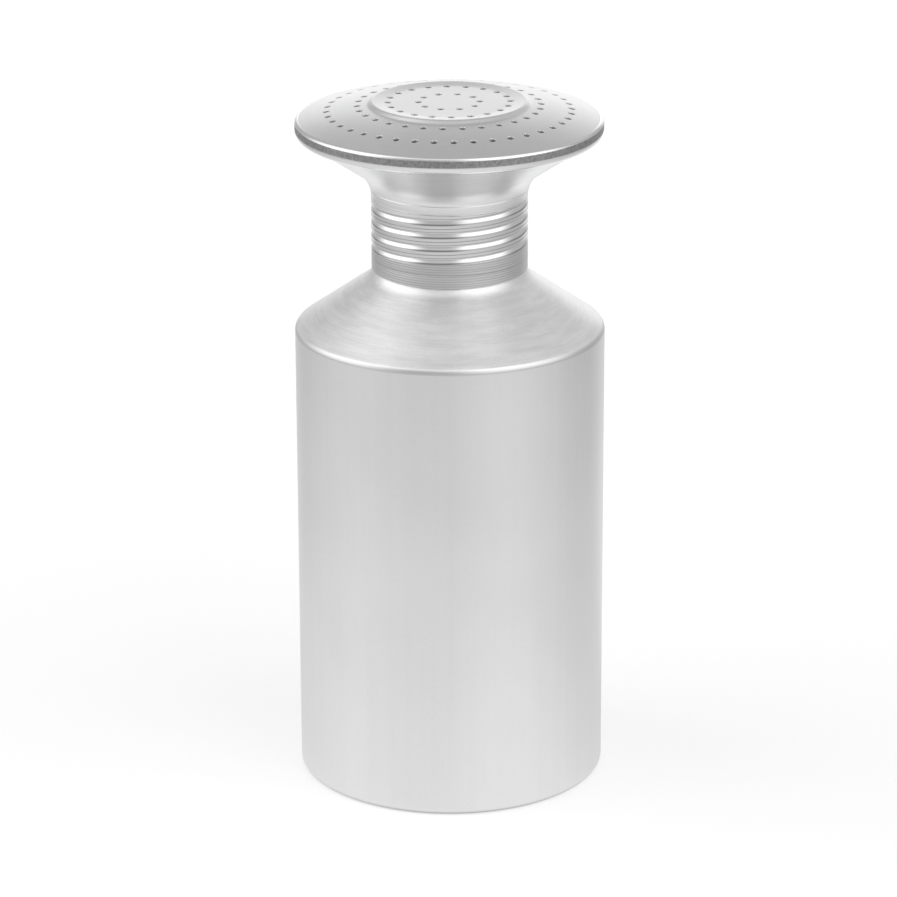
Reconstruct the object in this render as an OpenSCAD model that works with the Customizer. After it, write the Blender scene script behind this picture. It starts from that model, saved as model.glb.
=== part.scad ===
// Aluminium kitchen shaker with a screw-on sieve head.
// A seamless bottle carries a threaded neck. The head is a spun funnel whose collar
// screws over the neck, closed by a domed sieve that is crimped round the funnel's edge.
// Millimetres. The origin is the centre of the base and +Z points up.

/* [Bottle] */
// Outer diameter of the body
body_d = 80; // [72:1:100]
// Height at which the straight side would meet the line of the shoulder
body_h = 121; // [80:1:180]
// Wall thickness of the body, shoulder and neck root
body_wall = 1; // [0.7:0.1:1.4]
// Thickness of the base at its centre
base_t = 1.4; // [1:0.1:3]
// Rise of the hollow under the base
punt_h = 1.6; // [0.8:0.1:2.4]
// Width of the flat ring that the bottle stands on
foot_w = 4.2; // [3:0.1:8]
// Radius between the base and the side
base_corner_r = 1.8; // [1.2:0.1:4]
// Radius between the side and the shoulder
shoulder_corner_r = 1.8; // [1.6:0.1:6]
// Slope of the shoulder above the horizontal, in degrees
shoulder_deg = 35; // [30:0.1:42]
// Radius of the flare between the shoulder and the neck
neck_flare_r = 7; // [5:0.5:11]
// Plain relief between the flare and the neck thread
relief_h = 0.6; // [0.4:0.1:1.2]
// Height of the plain pilot between the neck thread and the lip
pilot_h = 4.2; // [2.4:0.1:6]
// Rounding of the lip
lip_round = 0.25; // [0.1:0.05:0.4]

/* [Screw thread] */
// Rise of the thread in one turn
thread_pitch = 3.4; // [2.8:0.1:4]
// Number of turns at full depth in the collar
thread_turns = 3.5; // [2:0.5:5]
// Turns over which the thread fades out at each end
runout_turns = 0.4; // [0.2:0.1:0.5]
// Depth of the thread
thread_depth = 0.5; // [0.3:0.05:0.6]
// Width of the groove outside the collar
groove_w = 1.5; // [1.2:0.1:1.8]
// Width of the ridge inside the collar
ridge_w = 2; // [1.6:0.1:2.2]
// Angle at which the thread reaches full depth, in degrees round +Z
thread_start_deg = 180; // [0:5:355]
// Radial clearance between collar and neck
thread_gap = 0.15; // [0.1:0.01:0.25]
// Clearance on each side of the ridge
flank_gap = 0.2; // [0.1:0.05:0.25]

/* [Funnel head] */
// Outer diameter of the collar
collar_d = 40.2; // [36:0.2:46]
// Wall thickness of the funnel
funnel_wall = 0.7; // [0.6:0.05:0.9]
// Height of the plain skirt, from the collar's edge to the start of the thread
skirt_h = 6.35; // [5.6:0.05:10]
// Clearance between the collar's edge and the flare of the neck
seat_gap = 0.15; // [0.1:0.05:0.4]
// Height from the last full turn of the thread to the start of the throat
throat_rise = 0.95; // [0:0.05:1.4]
// Radius of the throat, where the collar turns out into the cone
throat_r = 8.5; // [7:0.5:12]
// Slope of the cone above the horizontal, in degrees
cone_deg = 34; // [30:1:40]
// Radius at which the cone flattens towards the rim
bell_r = 10; // [6:0.5:18]
// Slope of the funnel where it meets the rim, in degrees
bell_end_deg = 27; // [12:1:28]

/* [Sieve cap] */
// Outer diameter of the rim
rim_d = 78.8; // [74:0.2:96]
// Thickness of the sieve sheet
cap_t = 0.7; // [0.5:0.05:0.8]
// Height of the rim, from its underside to its rounded upper edge
rim_side_h = 4; // [3.6:0.1:6]
// Radius of the upper edge of the rim
rim_edge_r = 0.8; // [0.7:0.1:1.4]
// Radius of the curl that folds under the funnel's edge
curl_r = 2.5; // [2:0.1:2.8]
// Flat width of the fold that grips the funnel
curl_lap = 0.4; // [0.3:0.1:0.8]
// Clearance inside the fold
crimp_gap = 0.1; // [0.05:0.05:0.15]
// Diameter of the flat in the middle
flat_d = 32; // [28:0.5:34]
// Diameter of the crest of the raised ring round the flat
crest_d = 38.8; // [36:0.2:40]
// Height of the crest above the flat
crest_h = 0.4; // [0.2:0.05:0.6]
// Rounding of the crest
crest_round = 1; // [0.6:0.1:1.4]
// Width of the raised ring's outer side, from its crest to the dome
crest_w = 1.6; // [1.2:0.1:2.2]
// Fall of the raised ring's outer side, from its crest to the dome
crest_fall = 0.95; // [0.6:0.05:1.3]
// Slope of the dome at its inner edge, in degrees
dome_start_deg = 6; // [4:0.5:8]
// Radius of curvature of the dome
dome_r = 90; // [70:1:130]
// Diameter of a sieve hole
hole_d = 1.7; // [1.2:0.1:2.2]
// Distance between the rings of holes
ring_step = 7.8; // [7.6:0.1:8.1]
// Number of rings of holes
hole_rings = 4; // [1:1:4]
// Holes in the first ring, and the number each further ring gains
ring_holes = 10; // [6:1:12]
// Angle of the first hole of every ring, in degrees round +Z
hole_start_deg = 2; // [0:1:35]

/* [Seal ring] */
// Thickness of the seal
seal_t = 1.5; // [1:0.1:2.5]
// How far the seal reaches out over the collar's bore
seal_reach = 0.6; // [0.4:0.05:0.9]
// How far the seal reaches in over the neck's bore
seal_overhang = 0.25; // [0:0.05:1]
// Clearance above and below the seal
seal_gap = 0.05; // [0.03:0.01:0.1]
// Rounding of the seal's edges
seal_round = 0.3; // [0.1:0.05:0.45]

/* [Hidden] */
$fn = 96;
// Steps round one turn of the thread, across one groove, and along one drawn arc
turn_steps = 40;
groove_steps = 6;
arc_steps = 12;
// Overlap of a cutting shape past the solid that it cuts
cut = 1;
// Angle by which the bell's inner face ends early, where the sheet turns to the flat of the rim
bell_turn = 2;
// Turned parts join a threaded part from inside its flat sides, by this step and this overlap
join_step = 0.06;
join_lap = 0.25;

body_r = body_d / 2;
foot_r = body_r - base_corner_r - foot_w;
punt_r = (foot_r * foot_r + punt_h * punt_h) / (2 * punt_h);
floor_z = punt_h + base_t;

// Radii of the screw fit, from the collar in to the bore of the neck
collar_r = collar_d / 2;
collar_bore_r = collar_r - funnel_wall;
neck_land_r = collar_bore_r - thread_gap;
neck_root_r = neck_land_r - thread_depth;
relief_r = inside_flats(neck_root_r);
neck_bore_r = relief_r - body_wall;
neck_groove_w = ridge_w + 2 * flank_gap;

// The flare is an arc that touches the shoulder line and the neck relief
shoulder_turn = 90 - shoulder_deg;
shoulder_tangent = shoulder_corner_r * tan(shoulder_turn / 2);
neck_corner_z = body_h + (body_r - relief_r) * tan(shoulder_deg);
flare_z = neck_corner_z + neck_flare_r * tan(shoulder_turn / 2);

// The collar's inner edge stands just clear of the flare
seat_in = neck_flare_r - (collar_bore_r - relief_r);
collar_z = flare_z - sqrt(neck_flare_r * neck_flare_r - seat_in * seat_in) + seat_gap;
thread_z = collar_z + skirt_h;
thread_reach = runout_turns * thread_pitch + ridge_w / 2 + flank_gap;
collar_thread_lo = thread_z - thread_reach;
collar_thread_hi = thread_z + thread_turns * thread_pitch + thread_reach;
throat_z = thread_z + thread_turns * thread_pitch + throat_rise;

// The seal rests on the throat, and the lip of the neck comes up to it
throat_in_r = throat_r + funnel_wall;
seal_r = collar_bore_r + seal_reach;
seal_in = throat_in_r - seal_reach;
seal_z = throat_z + sqrt(throat_in_r * throat_in_r - seal_in * seal_in) + seal_gap;
lip_z = seal_z - seal_gap;
neck_thread_lo = flare_z + relief_h;
neck_thread_hi = lip_z - pilot_h;

// Outline of the funnel, from the throat out to the fold of the rim
rim_r = rim_d / 2;
fold_r = rim_r - curl_r;
fold_tip_r = fold_r - curl_lap;
joggle_r = fold_tip_r - crimp_gap;
throat_c = collar_r + throat_r;
cone_r0 = throat_c - throat_r * sin(cone_deg);
cone_z0 = throat_z + throat_r * cos(cone_deg);
cone_r1 = joggle_r - bell_r * (sin(cone_deg) - sin(bell_end_deg));
cone_z1 = cone_z0 + (cone_r1 - cone_r0) * tan(cone_deg);
bell_c = [cone_r1 + bell_r * sin(cone_deg), cone_z1 - bell_r * cos(cone_deg)];
rim_z = bell_c[1] + bell_r * cos(bell_end_deg);
fold_z = rim_z + curl_r;
flange_r = curl_r - cap_t - crimp_gap;
flange_z = fold_z - crimp_gap;

// Heights of the sieve, from the rim up over the dome to the crest, and down to the flat
flat_r = flat_d / 2;
crest_r = crest_d / 2;
crest_in_deg = atan(crest_h / (crest_r - flat_r));
crest_out_deg = atan(crest_fall / crest_w);
dome_in_r = crest_r + crest_w;
function dome_fall(r) = (r - dome_in_r) * tan(dome_start_deg) + pow(r - dome_in_r, 2) / (2 * dome_r);
edge_slope = atan(tan(dome_start_deg) + (rim_r - rim_edge_r - dome_in_r) / dome_r);
dome_end_r = rim_r - rim_edge_r * (1 - sin(edge_slope));
edge_z = rim_z + rim_side_h;
dome_in_z = edge_z + rim_edge_r * cos(edge_slope) + dome_fall(dome_end_r);
top_z = dome_in_z + crest_fall;
flat_z = top_z - crest_h;

// Points of an arc about c, from angle a0 to a1 in degrees. It can leave out its first or last point.
function arc(c, r, a0, a1, first = 0, last = arc_steps) =
    [for (i = [first : last]) let(a = a0 + (a1 - a0) * i / arc_steps) c + r * [cos(a), sin(a)]];

// Share of the full thread depth at a number of turns past the start of the thread
function runout(turns) =
    let(past = max(-turns, turns - thread_turns))
    past <= 0 ? 1 : past >= runout_turns ? 0 : (1 + cos(180 * past / runout_turns)) / 2;

function always(turns) = 1;

// Plain radius of the collar at height z, outside and inside: straight, then the throat.
// The radius stays the same above the height at which the collar's section is cut off.
function throat_at(z, r) =
    let(rise = min(z, collar_thread_hi + cut) - throat_z)
    throat_c - (rise <= 0 ? r : sqrt(r * r - rise * rise));
function collar_outside(z) = throat_at(z, throat_r);
function collar_inside(z) = throat_at(z, throat_in_r);
function neck_outside(z) = neck_land_r;

// Radius just inside the flat sides of a threaded part whose corners are at radius r
function inside_flats(r) = r * cos(180 / turn_steps) - join_step;

// Solid rod with a helical groove, cut flat at z_lo and z_hi.
// plain gives the rod's radius at a height, and share the depth along the helix.
module grooved_rod(plain, share, width, z_lo, z_hi) {
    first = floor((z_lo - thread_z + width / 2) / thread_pitch) - 1;
    last = floor((z_hi - thread_z - width / 2) / thread_pitch) + 1;
    per_turn = groove_steps + 1;
    top_row = (last - first + 1) * per_turn - 1;
    function at(c, row) = (c % turn_steps) * (top_row + 1) + row + per_turn * floor(c / turn_steps);
    function place(c, row) =
        let(
            step = row % per_turn,
            turns = first + floor(row / per_turn) + c / turn_steps,
            z = thread_z + turns * thread_pitch + width * (step / groove_steps - 0.5),
            depth = thread_depth * share(turns) * (1 - cos(360 * step / groove_steps)) / 2,
            a = thread_start_deg + 360 * c / turn_steps,
            r = plain(z) - depth
        )
        [r * cos(a), r * sin(a), z];
    low = turn_steps * (top_row + 1);
    high = low + 1;
    points = [
        for (c = [0 : turn_steps - 1], row = [0 : top_row]) place(c, row),
        [0, 0, z_lo - thread_pitch],
        [0, 0, z_hi + thread_pitch],
    ];
    seam = turn_steps - 1;
    side = [
        for (c = [0 : seam], row = [0 : top_row - 1 - (c == seam ? per_turn : 0)])
        for (half = [0, 1])
        half == 0
            ? [at(c, row), at(c, row + 1), at(c + 1, row + 1)]
            : [at(c, row), at(c + 1, row + 1), at(c + 1, row)]
    ];
    bottom = [
        for (c = [0 : seam]) [low, at(c, 0), at(c + 1, 0)],
        for (row = [0 : per_turn - 1]) [low, at(0, row + 1), at(0, row)],
    ];
    top = [
        for (c = [0 : seam - 1]) [high, at(c + 1, top_row), at(c, top_row)],
        [high, at(0, top_row), at(seam, top_row - per_turn)],
        for (row = [top_row - per_turn : top_row - 1]) [high, at(seam, row), at(seam, row + 1)],
    ];
    intersection() {
        polyhedron(points, concat(side, bottom, top), convexity = 10);
        translate([0, 0, z_lo]) cylinder(r = body_r, h = z_hi - z_lo);
    }
}

// Outside of the bottle, up to the relief under the neck thread
module bottle_form() {
    rotate_extrude()
        polygon(concat(
            arc([0, punt_h - punt_r], punt_r, 90, 90 - asin(foot_r / punt_r)),
            arc([body_r - base_corner_r, base_corner_r], base_corner_r, -90, 0),
            arc(
                [body_r - shoulder_corner_r, body_h - shoulder_tangent],
                shoulder_corner_r, 0, shoulder_turn
            ),
            arc([relief_r + neck_flare_r, flare_z], neck_flare_r, 180 + shoulder_turn, 180),
            [[relief_r, neck_thread_lo + join_lap], [0, neck_thread_lo + join_lap]]
        ));
}

// Plain pilot above the neck thread, with a rounded lip
module neck_pilot() {
    rotate_extrude()
        polygon(concat(
            [[0, neck_thread_hi - join_lap], [relief_r, neck_thread_hi - join_lap]],
            arc([relief_r - lip_round, lip_z - lip_round], lip_round, 0, 90),
            [[0, lip_z]]
        ));
}

// Space inside the bottle, which follows the outside at the wall's thickness
module bottle_space() {
    rotate_extrude()
        polygon(concat(
            [[0, floor_z]],
            arc(
                [body_r - base_corner_r, floor_z + base_corner_r - body_wall],
                base_corner_r - body_wall, -90, 0
            ),
            arc(
                [body_r - shoulder_corner_r, body_h - shoulder_tangent],
                shoulder_corner_r - body_wall, 0, shoulder_turn
            ),
            arc(
                [relief_r + neck_flare_r, flare_z],
                neck_flare_r + body_wall, 180 + shoulder_turn, 180
            ),
            [[neck_bore_r, lip_z + cut], [0, lip_z + cut]]
        ));
}

// Seamless bottle with the screw thread on its neck
module bottle() {
    color("gainsboro")
        difference() {
            union() {
                bottle_form();
                grooved_rod(
                    function(z) neck_outside(z), function(t) always(t),
                    neck_groove_w, neck_thread_lo, neck_thread_hi
                );
                neck_pilot();
            }
            bottle_space();
        }
}

// Plain skirt of the collar, below the thread
module collar_skirt() {
    skirt_in = collar_bore_r + join_step;
    skirt_out = inside_flats(collar_r);
    skirt_top = collar_thread_lo + join_lap;
    rotate_extrude()
        translate([skirt_in, collar_z])
            square([skirt_out - skirt_in, skirt_top - collar_z]);
}

// Threaded part of the collar: the groove outside stands in as a ridge inside
module collar_thread() {
    difference() {
        grooved_rod(
            function(z) collar_outside(z), function(t) runout(t),
            groove_w, collar_thread_lo, collar_thread_hi
        );
        grooved_rod(
            function(z) collar_inside(z), function(t) runout(t),
            ridge_w, collar_thread_lo - cut, collar_thread_hi + cut
        );
    }
}

// Throat, cone and bell of the funnel, with the upturned edge that the sieve folds over
module funnel_bell() {
    rise = collar_thread_hi - throat_z;
    shelf_z = rim_z + cap_t;
    lip_out_r = fold_r + flange_r;
    lip_in_r = lip_out_r - funnel_wall;
    lip_under = dome_in_z - cap_t - crimp_gap;
    join_z = [collar_thread_hi - join_lap, collar_thread_hi + join_lap];
    rotate_extrude()
        polygon(concat(
            [for (z = join_z) [inside_flats(collar_outside(z)), z]],
            arc([throat_c, throat_z], throat_r, 180 - asin(rise / throat_r), 90 + cone_deg, first = 1),
            arc(bell_c, bell_r, 90 + cone_deg, 90 + bell_end_deg),
            [[joggle_r, shelf_z]],
            arc([fold_r, flange_z], flange_r, -90, 0),
            [[lip_out_r, lip_under - dome_fall(lip_out_r)], [lip_in_r, lip_under - dome_fall(lip_in_r)]],
            arc([fold_r, flange_z], flange_r - funnel_wall, 0, -90),
            [[joggle_r, shelf_z + funnel_wall]],
            arc(bell_c, bell_r + funnel_wall, 90 + bell_end_deg + bell_turn, 90 + cone_deg),
            arc(
                [throat_c, throat_z], throat_in_r,
                90 + cone_deg, 180 - asin(rise / throat_in_r), last = arc_steps - 1
            ),
            [for (i = [1, 0]) [collar_inside(join_z[i]) + join_step, join_z[i]]]
        ));
}

// Spun funnel with the collar that screws over the neck
module funnel() {
    color("silver") {
        collar_skirt();
        collar_thread();
        funnel_bell();
    }
}

// Section of the sieve: flat, raised ring, dome, rim, and the fold under the funnel's edge
module sieve_section() {
    middle = concat(
        [[0, flat_z], [flat_r, flat_z]],
        arc([crest_r, top_z - crest_round], crest_round, 90 + crest_in_deg, 90 - crest_out_deg)
    );
    dome = [
        for (i = [0 : arc_steps])
        let(r = dome_in_r + (dome_end_r - dome_in_r) * i / arc_steps)
        [r, dome_in_z - dome_fall(r)]
    ];
    inside_r = rim_r - cap_t;
    under = [
        for (i = [0 : arc_steps])
        let(r = inside_r + (dome_in_r - inside_r) * i / arc_steps)
        [r, dome_in_z - cap_t - dome_fall(r)]
    ];
    polygon(concat(
        middle,
        dome,
        arc([rim_r - rim_edge_r, edge_z], rim_edge_r, 90 - edge_slope, 0),
        arc([fold_r, fold_z], curl_r, 0, -90),
        [[fold_tip_r, rim_z], [fold_tip_r, rim_z + cap_t]],
        arc([fold_r, fold_z], curl_r - cap_t, -90, 0),
        under,
        [for (i = [len(middle) - 1 : -1 : 0]) middle[i] - [0, cap_t]]
    ));
}

// Domed sieve, crimped round the edge of the funnel
module sieve_cap() {
    color("lightgray")
        difference() {
            rotate_extrude() sieve_section();
            for (ring = [1 : hole_rings])
                for (i = [0 : ring * ring_holes - 1])
                    rotate(hole_start_deg + 360 * i / (ring * ring_holes))
                        translate([ring * ring_step, 0, rim_z])
                            cylinder(d = hole_d, h = top_z - rim_z + cut);
        }
}

// Flat seal between the lip of the neck and the throat of the funnel
module seal_ring() {
    hole_r = neck_bore_r - seal_overhang;
    color("whitesmoke")
        rotate_extrude()
            polygon(concat(
                arc([seal_r - seal_round, seal_z + seal_round], seal_round, -90, 0),
                arc([seal_r - seal_round, seal_z + seal_t - seal_round], seal_round, 0, 90),
                arc([hole_r + seal_round, seal_z + seal_t - seal_round], seal_round, 90, 180),
                arc([hole_r + seal_round, seal_z + seal_round], seal_round, 180, 270)
            ));
}

bottle();
funnel();
sieve_cap();
seal_ring();
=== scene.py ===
"""Looks of an aluminium kitchen shaker: bottle, screw-on funnel head, domed sieve, seal and stage."""

import math

import bmesh
import bpy
from bpy.props import FloatProperty, FloatVectorProperty, IntProperty, PointerProperty
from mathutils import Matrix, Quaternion, Vector
from mathutils.geometry import delaunay_2d_cdt


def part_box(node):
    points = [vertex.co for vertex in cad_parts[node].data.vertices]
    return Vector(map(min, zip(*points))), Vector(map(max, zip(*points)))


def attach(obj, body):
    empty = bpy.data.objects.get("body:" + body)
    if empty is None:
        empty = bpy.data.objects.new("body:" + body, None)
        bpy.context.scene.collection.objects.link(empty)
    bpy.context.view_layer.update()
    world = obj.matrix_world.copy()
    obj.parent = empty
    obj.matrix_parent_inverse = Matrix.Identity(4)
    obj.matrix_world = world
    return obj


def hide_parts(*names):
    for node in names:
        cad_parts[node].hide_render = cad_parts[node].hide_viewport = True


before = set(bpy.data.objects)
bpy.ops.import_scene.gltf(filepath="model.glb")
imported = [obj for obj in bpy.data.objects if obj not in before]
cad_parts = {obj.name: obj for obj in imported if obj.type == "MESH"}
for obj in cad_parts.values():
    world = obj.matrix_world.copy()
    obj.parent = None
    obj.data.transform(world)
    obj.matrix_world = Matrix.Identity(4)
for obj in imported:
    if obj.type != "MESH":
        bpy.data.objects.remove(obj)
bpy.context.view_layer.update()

bl_info = {
    "name": "Sieve-top shaker",
    "version": (1, 0, 0),
    "blender": (4, 5, 0),
    "location": "View3D > Sidebar > Shaker",
    "description": "Builds the pieces, finishes and stage of an aluminium kitchen shaker",
    "category": "Add Mesh",
}

# Corners of the construction model's pieces, which the looks are built to
BOTTLE_LO, BOTTLE_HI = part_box("bottle")
FUNNEL_LO, FUNNEL_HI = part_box("funnel")
SIEVE_LO, SIEVE_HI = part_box("sieve_cap")
SEAL_LO, SEAL_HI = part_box("seal_ring")

SEGMENTS = 256          # steps round a turned piece
FLOOR_SEGMENTS = 96     # steps round the floor's disc
THREAD_STEP = 0.00008   # height of a mesh row on a thread, in metres
ROW_GAP = 0.0001        # between a plain row and the first row that follows the thread


# -------- sizes and colours


def length(name, description, default):
    """A size in metres."""
    return FloatProperty(name=name, description=description, default=default, min=0,
                         precision=5, unit="LENGTH")


def angle(name, description, degrees):
    """An angle, whose default is given in degrees."""
    return FloatProperty(name=name, description=description, default=math.radians(degrees),
                         unit="ROTATION")


def share(name, description, default):
    """A number from 0 to 1."""
    return FloatProperty(name=name, description=description, default=default, min=0, max=1,
                         subtype="FACTOR")


def colour(name, description, default):
    """A colour, in linear values."""
    return FloatVectorProperty(name=name, description=description, default=default, min=0, max=1,
                               subtype="COLOR")


class ShakerBottle(bpy.types.PropertyGroup):
    """Sizes and colour of the bottle."""

    body_radius: length("Body radius", "Outer radius of the body", BOTTLE_HI.x)
    shoulder_height: length("Shoulder height", "Height at which side and shoulder lines meet", 0.121)
    wall: length("Wall", "Thickness of the sheet", 0.001)
    floor_height: length("Floor height", "Height of the inner floor above the rest plane", 0.003)
    punt_rise: length("Punt rise", "Rise of the hollow under the base", 0.0016)
    foot_width: length("Foot width", "Width of the flat ring that it stands on", 0.0042)
    base_corner: length("Base corner", "Radius between base and side", 0.0018)
    shoulder_corner: length("Shoulder corner", "Radius between side and shoulder", 0.0018)
    shoulder_slope: angle("Shoulder slope", "Slope of the shoulder above the horizontal", 35)
    flare: length("Neck flare", "Radius between shoulder and neck", 0.007)
    relief_radius: length("Relief radius", "Radius of the neck below and above its thread", 0.018632)
    relief_height: length("Relief height", "Plain height between flare and thread", 0.0006)
    pilot_height: length("Pilot height", "Plain height between thread and lip", 0.0042)
    lip_round: length("Lip rounding", "Rounding of the lip", 0.00025)
    metal: colour("Metal", "Colour of the satin side", (0.83, 0.83, 0.835))
    roughness: share("Roughness", "Roughness of the satin side", 0.4)


class ShakerThread(bpy.types.PropertyGroup):
    """Sizes of the screw thread."""

    pitch: length("Pitch", "Rise in one turn", 0.0034)
    turns: FloatProperty(name="Turns", description="Turns at full depth", default=3.5, min=1, max=8)
    runout: FloatProperty(name="Runout", description="Turns over which each end fades", default=0.4,
                          min=0.1, max=1)
    depth: length("Depth", "Depth of the thread", 0.0005)
    groove: length("Groove width", "Width of the groove outside the collar", 0.0015)
    lopsided: share("Groove shape", "Share of the groove above its bottom; the rest is below", 0.28)
    margin: FloatProperty(name="Margin", description="Turns that the rolled band goes past a groove",
                          default=0.29, min=0, max=0.5)
    ridge: length("Ridge width", "Width of the ridge inside the collar", 0.002)
    start: angle("Start", "Angle round +Z at which the thread is first at full depth", 180)
    gap: length("Radial gap", "Clearance between collar and neck", 0.00015)
    flank_gap: length("Flank gap", "Clearance on each side of the ridge", 0.0002)


class ShakerFunnel(bpy.types.PropertyGroup):
    """Sizes and colour of the funnel."""

    collar_radius: length("Collar radius", "Outer radius of the collar", 0.0201)
    wall: length("Wall", "Thickness of the sheet", 0.0007)
    skirt_height: length("Skirt height", "Plain height below the thread", 0.00635)
    throat_rise: length("Throat rise", "Height from the last full turn to the throat", 0.00095)
    throat: length("Throat", "Radius of the throat's curve", 0.0085)
    cone_slope: angle("Cone slope", "Slope of the cone above the horizontal", 34)
    bell: length("Bell", "Radius at which the cone flattens", 0.01)
    bell_slope: angle("Bell slope", "Slope where the bell meets the rim", 27)
    metal: colour("Metal", "Colour of the spun sheet", (0.8, 0.8, 0.805))
    turned: colour("Turned metal", "Colour of the turned skirt", (0.62, 0.62, 0.625))
    feed: length("Feed", "Distance between the turned lines of the skirt", 0.00063)


class ShakerSieve(bpy.types.PropertyGroup):
    """Sizes and colour of the sieve."""

    rim_radius: length("Rim radius", "Outer radius of the rim", SIEVE_HI.x)
    thickness: length("Thickness", "Thickness of the sheet", 0.0007)
    side_height: length("Side height", "Height from the underside to the edge's centre", 0.004)
    edge: length("Edge", "Radius of the upper edge", 0.0011)
    curl: length("Curl", "Radius of the curl that folds under the funnel", 0.0025)
    lap: length("Lap", "Flat width of the fold", 0.0004)
    gap: length("Crimp gap", "Clearance inside the fold", 0.0001)
    flat_radius: length("Flat radius", "Radius of the flat in the middle", 0.016)
    crest_radius: length("Crest radius", "Radius of the raised ring's crest, before it is rounded",
                         0.01967)
    crest_height: length("Crest height", "Height of that crest above the flat", 0.00044)
    crest_width: length("Crest width", "Width of the ring's outer side", 0.00125)
    crest_fall: length("Crest fall", "Fall of the ring's outer side", 0.00099)
    dome_slope: angle("Dome slope", "Slope of the dome at its inner edge", 6)
    dome_radius: length("Dome radius", "Radius of curvature of the dome", 0.09)
    hole: length("Hole", "Diameter of a hole", 0.0017)
    ring_step: length("Ring step", "Distance between the rings of holes", 0.0078)
    rings: IntProperty(name="Rings", description="Number of rings of holes", default=4, min=1, max=4)
    ring_holes: IntProperty(name="Ring holes", description="Holes that each ring gains", default=10,
                            min=4, max=12)
    first_hole: angle("First hole", "Angle of the first hole of every ring", 2)
    metal: colour("Metal", "Colour of the sieve", (0.765, 0.765, 0.77))


class ShakerSeal(bpy.types.PropertyGroup):
    """Sizes and colour of the seal."""

    outer_radius: length("Outer radius", "Outer radius of the seal", SEAL_HI.x)
    inner_radius: length("Inner radius", "Radius of the seal's hole", 0.017382)
    rounding: length("Rounding", "Rounding of the edges", 0.0003)
    rubber: colour("Rubber", "Colour of the seal", (0.78, 0.78, 0.75))


class ShakerStage(bpy.types.PropertyGroup):
    """Camera, floor and light."""

    distance: length("Distance", "From the camera to the point it aims at", 1.1)
    pitch: angle("Pitch", "How far the camera looks down", 19.294)
    aim_x: FloatProperty(name="Aim X", description="Side shift of the aim", default=-0.00047,
                         unit="LENGTH")
    aim_height: length("Aim height", "Height of the aim above the floor", 0.08683)
    lens: FloatProperty(name="Lens", description="Focal length, in millimetres", default=168.99,
                        min=1, unit="CAMERA")
    roll: angle("Roll", "Turn of the camera about its own axis", -0.196)
    floor_radius: length("Floor radius", "Radius of the floor", 1.6)
    near_floor: length("Near floor", "Distance to which the floor mirrors brightest", 0.1)
    far_floor: length("Far floor", "Distance from which the floor mirrors darkest", 0.5)
    floor_glow: share("Floor glow", "Level that the floor shows the camera without its shading", 0.48)
    tent_level: share("Tent level", "Level of the tent between its panels", 0.51)
    paper: colour("Paper", "Colour of the floor", (0.6, 0.6, 0.6))


# -------- outlines


def arc(r, z, radius, start, end, steps=12):
    """Points of an arc about (r, z), from one angle to another in radians."""
    turn = (end - start) / steps
    return [(r + radius * math.cos(start + turn * i), z + radius * math.sin(start + turn * i))
            for i in range(steps + 1)]


DOWN, OUT, UP, IN = -math.pi / 2, 0, math.pi / 2, math.pi


def refined(points, longest, guard=0.00015):
    """The outline with its long straight stretches cut up. Both ends of each get a close
    neighbour, so that smooth shading doesn't spread a corner over a flat."""
    out = []
    for (r0, z0), (r1, z1) in zip(points, points[1:]):
        span = math.hypot(r1 - r0, z1 - z0)
        out.append((r0, z0))
        if span < 4 * guard:
            continue
        stops = [guard / span]
        pieces = max(1, math.ceil(span / longest))
        stops += [i / pieces for i in range(1, pieces)]
        stops.append(1 - guard / span)
        out += [(r0 + (r1 - r0) * t, z0 + (z1 - z0) * t) for t in stops]
    return out + [points[-1]]


def joined(parts, fine, longest):
    """Points of an outline that is given as named parts in a row, and the name of each point's
    part. The parts that are named fine are cut up for the thread."""
    points, zones = [], []
    for zone, stretch in parts:
        step = THREAD_STEP if zone in fine else longest
        link = refined([points[-1], stretch[0]], step)[1:-1] if points else []
        cut = refined(stretch, step) if zone in fine else stretch
        points += link + cut
        zones += [zone] * len(link + cut)
    return points, zones


def smooth_step(t):
    """0 below 0, 1 above 1, and a cosine in between."""
    return (1 - math.cos(math.pi * min(max(t, 0), 1))) / 2


def ramp(x, width):
    """The integral of a step at 0 that is spread over twice the width."""
    if abs(x) < width:
        return (x + width) ** 2 / (4 * width)
    return max(x, 0)


class Screw:
    """The helix that the collar and the neck share."""

    def __init__(self, thread, first_turn):
        self.thread = thread
        self.first_turn = first_turn

    def turns(self, angle_, z):
        """Turns above the start of the thread, where a whole number is the middle of a groove."""
        t = self.thread
        return (z - self.first_turn) / t.pitch - ((angle_ - t.start) / math.tau) % 1

    def share(self, angle_, z, above, below, fades):
        """How deep the thread is at a place, from 0 on the land to 1 at the bottom. The groove
        reaches above and below its bottom by the given heights."""
        t = self.thread
        turn = self.turns(angle_, z)
        nearest = round(turn)
        away = (turn - nearest) * t.pitch
        across = away / (above if away > 0 else below)
        if abs(across) >= 1:
            return 0
        depth = (1 + math.cos(math.pi * across)) / 2
        if fades:
            along = nearest + ((angle_ - t.start) / math.tau) % 1
            past = max(-along, along - t.turns)
            depth *= 1 - smooth_step(past / t.runout)
        return depth

    def rolled(self, angle_, z):
        """0 below the rolled turns, 1 between them and 2 above them."""
        sharpness = 20
        t = self.thread
        along = ((angle_ - t.start) / math.tau) % 1
        turn = self.turns(angle_, z)
        low = -t.margin - smooth_step((along - 1) / t.runout + 1)
        high = math.floor(t.turns) + t.margin - smooth_step((along - t.turns % 1) / t.runout)
        return smooth_step((turn - low) * sharpness) + smooth_step((turn - high) * sharpness)


# -------- meshes


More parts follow.
